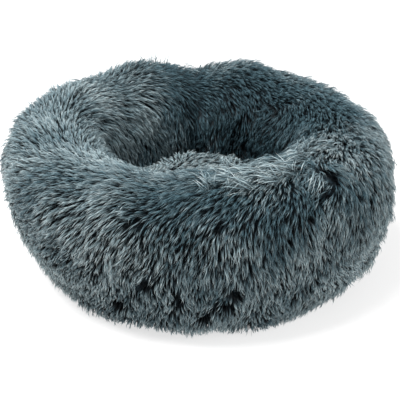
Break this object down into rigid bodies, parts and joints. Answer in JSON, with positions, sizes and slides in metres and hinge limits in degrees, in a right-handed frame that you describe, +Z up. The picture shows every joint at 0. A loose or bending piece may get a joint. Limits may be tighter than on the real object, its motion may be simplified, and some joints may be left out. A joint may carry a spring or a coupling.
{
  "type": "pet cushion bed",
  "caption": "Round pet bed: a thick stuffed ring of long-pile fur around a deep well with a crowned fur floor cushion, on a flat non-slip base.",
  "frame": {"origin": "centre of the underside, on the plane of the grip dots that the bed rests on", "axes": "+Z up through the middle of the well; the view in use is from -Y, so +X is to the right and +Y to the back"},
  "size_m": [0.49, 0.4898, 0.196],
  "materials": {
    "fur": "long soft pile, slate blue-grey",
    "thread": "spun polyester sewing thread",
    "fibre_fill": "loose white polyester fibre",
    "base_cloth": "plain woven cloth, matt",
    "grip": "soft moulded dots, satin",
    "label": "blank woven ribbon"
  },
  "bodies": {
    "root": {"ring_cover": "fur", "strip_seam": "thread", "ring_fill": "fibre_fill", "floor_cover": "fur", "floor_fill": "fibre_fill", "floor_seam": "thread", "base_panel": "base_cloth", "grip_dots": "grip", "base_seam": "thread", "closing_seam": "thread", "care_label": "label"}
  },
  "joints": []
}
